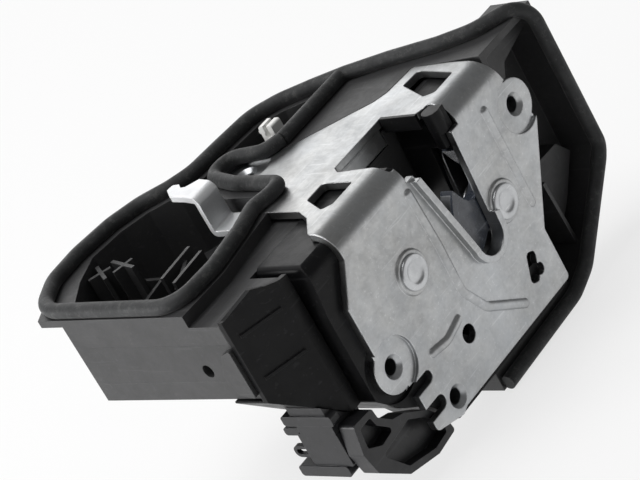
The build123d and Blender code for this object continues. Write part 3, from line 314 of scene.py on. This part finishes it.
def moulded_plastic(name, light, dark, worn_and_highlight_colour, rough, grain, depth, specular, edge=0.0003):
    """Moulded plastic: fine grain, uneven sheen, and paler edges that are partly rubbed and partly painted
    highlight.
    """
    material, tree, shader = skin(name, 0.0, specular)
    edges = use(tree, SOFT_EDGES, (-600, 300), Radius=edge, Break_Up=500.0)
    tone = use(tree, MOTTLE, (-600, 0), Scale=90.0, Contrast=2.0)["Tone"]
    rubs = use(tree, HAIR_SCRATCHES, (-600, -250), Scale=700.0, Amount=0.25)["Scratch"]
    height = use(tree, FINE_GRAIN, (-600, -500), Scale=grain, Pits=0.35)["Height"]
    base = blend_colour(tree, tone, dark, light, (0, 200))
    feed(tree, edge_highlight_and_rubs(tree, edges, 0.5, rubs, base, worn_and_highlight_colour), shader.inputs["Base Color"])
    uneven_sheen(tree, shader, tone, rough, 0.08, 0.06)
    feed(tree, bumped(tree, height, depth, edges["Normal"]), shader.inputs["Normal"])
    return material


def soft_rubber(name, light, dark, bloom, rough, depth):
    """Foamed or moulded rubber: matt skin, powdery bloom, small pores."""
    material, tree, shader = skin(name, 0.0, 0.35)
    edges = use(tree, SOFT_EDGES, (-600, 300), Radius=0.0005, Break_Up=400.0)
    tone = use(tree, MOTTLE, (-600, 0), Scale=130.0, Contrast=2.4)["Tone"]
    dust = use(tree, MOTTLE, (-600, -200), Scale=420.0, Contrast=3.5)["Tone"]
    pores = use(tree, FINE_GRAIN, (-600, -450), Scale=1500.0, Pits=0.9)["Height"]
    base = blend_colour(tree, tone, dark, light, (0, 200))
    powdery = blend_colour(tree, ramp(tree, dust, 0.58, 0.95, 0.0, 0.5, (0, 0)), base, bloom, (250, 200))
    feed(tree, powdery, shader.inputs["Base Color"])
    uneven_sheen(tree, shader, tone, rough, 0.06, 0.08)
    feed(tree, bumped(tree, pores, depth, edges["Normal"]), shader.inputs["Normal"])
    shader.inputs["Sheen Weight"].default_value = 0.12
    shader.inputs["Sheen Roughness"].default_value = 0.45
    return material


# Finishes by material slot. Metals: light, dark, colour of the rubs and of the pale edges (partly wear,
# partly painted highlight), roughness, scale of the rubs, edge radius
METALS = {
    "spring_steel": ((0.50, 0.51, 0.52), (0.34, 0.34, 0.35), (0.66, 0.66, 0.66), 0.32, 1600.0, 0.0001),
    "claw_steel": ((0.46, 0.47, 0.49), (0.28, 0.29, 0.31), (0.64, 0.65, 0.66), 0.36, 800.0, 0.00025),
    "rivet_steel": ((0.60, 0.61, 0.62), (0.44, 0.45, 0.46), (0.72, 0.72, 0.73), 0.34, 1200.0, 0.0005),
    "motor_steel": ((0.56, 0.57, 0.58), (0.42, 0.43, 0.44), (0.70, 0.70, 0.71), 0.30, 1300.0, 0.0004),
    "brass": ((0.62, 0.46, 0.20), (0.46, 0.32, 0.13), (0.76, 0.62, 0.34), 0.30, 1300.0, 0.00025),
    "contact_metal": ((0.66, 0.62, 0.52), (0.50, 0.47, 0.38), (0.80, 0.77, 0.68), 0.28, 1400.0, 0.0001),
    "screw_steel": ((0.30, 0.30, 0.31), (0.18, 0.18, 0.19), (0.52, 0.52, 0.53), 0.36, 1200.0, 0.0002),
    # Paler than the zinc sheet: the paleness is painted light on the release lever's face, and the roughness
    # is its own
    "plated_strip": ((0.88, 0.89, 0.90), (0.76, 0.77, 0.78), (0.94, 0.94, 0.95), 0.58, 1500.0, 0.0003),
}

# Plastics: light, dark, colour of the rubs and of the pale edges (partly wear, partly painted highlight),
# then roughness, scale and depth of the grain, specular
PLASTICS = {
    "claw_coating": (
        ((0.085, 0.098, 0.125), (0.014, 0.017, 0.024), (0.42, 0.45, 0.50)),
        (0.24, 1800.0, 0.00002, 0.8),
    ),
    "black_plastic": (
        ((0.032, 0.032, 0.033), (0.022, 0.022, 0.023), (0.085, 0.085, 0.087)),
        (0.50, 2600.0, 0.00003, 0.6),
    ),
    "cover_plastic": (
        ((0.034, 0.034, 0.035), (0.024, 0.024, 0.025), (0.085, 0.085, 0.087)),
        (0.50, 2200.0, 0.00003, 0.6),
    ),
    "connector_plastic": (
        ((0.018, 0.018, 0.020), (0.009, 0.009, 0.010), (0.065, 0.066, 0.070)),
        (0.38, 3000.0, 0.00002, 0.45),
    ),
    "clip_nylon": (
        ((0.84, 0.84, 0.82), (0.76, 0.76, 0.74), (0.90, 0.90, 0.89)),
        (0.42, 2400.0, 0.00002, 0.5),
    ),
    "gear_plastic": (
        ((0.62, 0.60, 0.52), (0.52, 0.50, 0.42), (0.74, 0.73, 0.68)),
        (0.42, 2400.0, 0.00002, 0.5),
    ),
    "switch_plastic": (
        ((0.035, 0.036, 0.040), (0.020, 0.020, 0.024), (0.10, 0.10, 0.11)),
        (0.42, 2600.0, 0.00002, 0.45),
    ),
    # A darker, less glossy copy of the black plastic: painted shade on the latch case and the side cover
    "deep_black_plastic": (
        ((0.0075, 0.0075, 0.008), (0.0035, 0.0035, 0.004), (0.040, 0.040, 0.042)),
        (0.36, 2600.0, 0.00002, 0.16),
    ),
}

# Rubbers: light, dark, bloom, roughness, depth of the pores
RUBBERS = {
    "rubber": ((0.030, 0.031, 0.032), (0.014, 0.0145, 0.015), (0.075, 0.075, 0.073), 0.62, 0.00006),
    "bumper_rubber": ((0.020, 0.020, 0.021), (0.010, 0.010, 0.011), (0.045, 0.045, 0.045), 0.6, 0.00004),
}

finishes = {
    "zinc_sheet": plated_sheet(
        "zinc_sheet",
        rgb(0.55, 0.55, 0.54),
        rgb(0.29, 0.29, 0.285),
        rgb(0.43, 0.46, 0.50),
        rgb(0.78, 0.79, 0.80),
        rough=0.34,
        flower=520.0,
        scratch=1100.0,
        edge=0.0006,
    )
}
for name, (light, dark, rub_and_highlight_colour, *rest) in METALS.items():
    finishes[name] = machined_metal(name, rgb(*light), rgb(*dark), rgb(*rub_and_highlight_colour), *rest)
for name, (tones, rest) in PLASTICS.items():
    finishes[name] = moulded_plastic(name, *(rgb(*tone) for tone in tones), *rest)
for name, (light, dark, bloom, *rest) in RUBBERS.items():
    finishes[name] = soft_rubber(name, rgb(*light), rgb(*dark), rgb(*bloom), *rest)

# The latch's own case and the side cover take a darker copy of the tray's black plastic as painted shade, and
# the release lever takes a paler, rougher metal than the plate, its paleness painted light
painted_shade_and_light_finish = {
    "latch_housing": finishes["deep_black_plastic"],
    "side_cover": finishes["deep_black_plastic"],
    "release_lever": finishes["plated_strip"],
}

for name, node in nodes.items():
    for place in node.material_slots:
        slot_name = place.material.name.split(".")[0] if place.material else ""
        place.material = painted_shade_and_light_finish.get(name) or finishes.get(slot_name, place.material)


# Rivet heads: a staked ring round a soft crater, over the plain heads of the solids
HEAD_PROFILE = (
    (0.0, -0.96), (1.2, -0.97), (2.2, -1.02), (2.9, -1.14), (3.3, -1.32),
    (3.6, -1.50), (3.9, -1.60), (4.3, -1.64), (5.0, -1.64), (5.3, -1.60),
    (5.5, -1.50), (5.62, -1.34), (5.68, -1.10), (5.70, -0.70), (5.72, 0.10),
)
HEAD_STEPS = 72
# How far a staked head strays from round
HEAD_WOBBLE = 0.006


def staked_head(name, up, inboard):
    """The head as a turned mesh, from HEAD_PROFILE: radius, and depth behind the face, in millimetres."""
    around = HEAD_STEPS
    corners = [(0.0, HEAD_PROFILE[0][1], 0.0)]
    for radius, height in HEAD_PROFILE[1:]:
        for step in range(around):
            angle = 2 * math.pi * step / around
            wobble = 1 + HEAD_WOBBLE * math.sin(3 * angle + up)
            corners.append((radius * wobble * math.cos(angle), height, radius * wobble * math.sin(angle)))
    faces = [(0, 1 + step, 1 + (step + 1) % around) for step in range(around)]
    for ring in range(len(HEAD_PROFILE) - 2):
        start = 1 + ring * around
        for step in range(around):
            following = (step + 1) % around
            faces.append((start + step, start + around + step, start + around + following, start + following))
    centre = Vector((up - SLOT_RISE, 0.0, inboard + SLOT_INSET))
    mesh = bpy.data.meshes.new(name)
    mesh.from_pydata([(Vector(corner) + centre) / 1000 for corner in corners], [], faces)
    mesh.update()
    for face in mesh.polygons:
        face.use_smooth = True
    head = bpy.data.objects.new(name, mesh)
    bpy.context.scene.collection.objects.link(head)
    mesh.materials.append(finishes["rivet_steel"])
    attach(head, "root")


staked_head("claw_rivet_head", 25.8, -38.1)
staked_head("pawl_rivet_head", -20.4, -29.7)


# Floor, light and camera

def flat_mesh(name, corners):
    mesh = bpy.data.meshes.new(name)
    mesh.from_pydata(corners, [], [tuple(range(len(corners)))])
    piece = bpy.data.objects.new(name, mesh)
    bpy.context.scene.collection.objects.link(piece)
    return piece


def white_where_seen(tree, lit, place=(200, 0)):
    """Mixes a lit shader with plain white for camera, glossy and transmission rays."""
    left, above = place[0], place[1] + 300
    rays = put(tree, "ShaderNodeLightPath", (left - 600, above)).outputs
    seen = maths(tree, "MAXIMUM", rays["Is Camera Ray"], rays["Is Glossy Ray"], (left - 400, above))
    seen = maths(tree, "MAXIMUM", seen, rays["Is Transmission Ray"], (left - 200, above))
    white = put(tree, "ShaderNodeEmission", (left - 200, place[1] - 200))
    white.inputs["Strength"].default_value = 1.0
    mix = put(tree, "ShaderNodeMixShader", place)
    feed(tree, maths(tree, "MULTIPLY", seen, WHITE_SHARE, (left - 50, above)), mix.inputs["Fac"])
    feed(tree, lit, mix.inputs[1])
    feed(tree, white.outputs["Emission"], mix.inputs[2])
    return mix.outputs["Shader"]


floor_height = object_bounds()[0][2]
floor_corners = ((-1, -1), (1, -1), (1, 1), (-1, 1))
floor = flat_mesh("studio_floor", [(x * FLOOR_HALF, y * FLOOR_HALF, floor_height) for x, y in floor_corners])
floor_finish, floor_tree, floor_shader = skin("studio_floor", 0.0, 0.1)
floor_shader.inputs["Base Color"].default_value = rgb(0.88, 0.88, 0.88)
floor_shader.inputs["Roughness"].default_value = 0.9
floor_output = floor_tree.nodes["Material Output"]
floor_surface = white_where_seen(floor_tree, floor_shader.outputs["BSDF"], (1000, 0))
feed(floor_tree, floor_surface, floor_output.inputs["Surface"])
floor.data.materials.append(floor_finish)

world = bpy.data.worlds.new("studio_world")
bpy.context.scene.world = world
world.use_nodes = True
world_tree = world.node_tree
world_light = world_tree.nodes["Background"]
world_light.inputs["Color"].default_value = rgb(1.0, 1.0, 1.0)
world_rays = put(world_tree, "ShaderNodeLightPath", (-600, 0)).outputs
seen = maths(world_tree, "MAXIMUM", world_rays["Is Camera Ray"], world_rays["Is Transmission Ray"], (-400, 0))
feed(world_tree, ramp(world_tree, seen, 0.0, 1.0, WORLD_LIT, 1.0, (-200, 0)), world_light.inputs["Strength"])

AIM = Vector((-0.007, 0.060, 0.007))


def soft_box(name, offset, width, height, power):
    """A flat studio lamp that stands off from the part and faces it."""
    place = AIM + Vector(offset)
    lamp = bpy.data.lights.new(name, "AREA")
    lamp.shape = "RECTANGLE"
    lamp.size = width
    lamp.size_y = height
    lamp.energy = power
    holder = bpy.data.objects.new(name, lamp)
    holder.location = place
    holder.rotation_euler = (AIM - place).to_track_quat("-Z", "Y").to_euler()
    bpy.context.scene.collection.objects.link(holder)


soft_box("lamp_above", (-0.35, 0.25, 1.15), 0.9, 0.8, 11.0)
soft_box("lamp_behind", (0.85, 1.05, 0.62), 1.3, 1.0, 6.8)
soft_box("lamp_left", (-1.25, 0.60, 0.22), 0.9, 0.6, 16.0)

camera = bpy.data.cameras.new("photo_camera")
camera.lens = CAMERA_LENS
camera.sensor_width = SENSOR_WIDTH
camera.clip_start = 0.05
camera.clip_end = 30.0
camera_holder = bpy.data.objects.new("photo_camera", camera)
turn = Matrix((CAMERA_RIGHT, CAMERA_UP, CAMERA_BACK)).transposed().to_4x4()
camera_holder.matrix_world = Matrix.Translation(CAMERA_PLACE) @ turn
bpy.context.scene.collection.objects.link(camera_holder)
bpy.context.scene.camera = camera_holder
bpy.context.scene.view_settings.view_transform = "Standard"
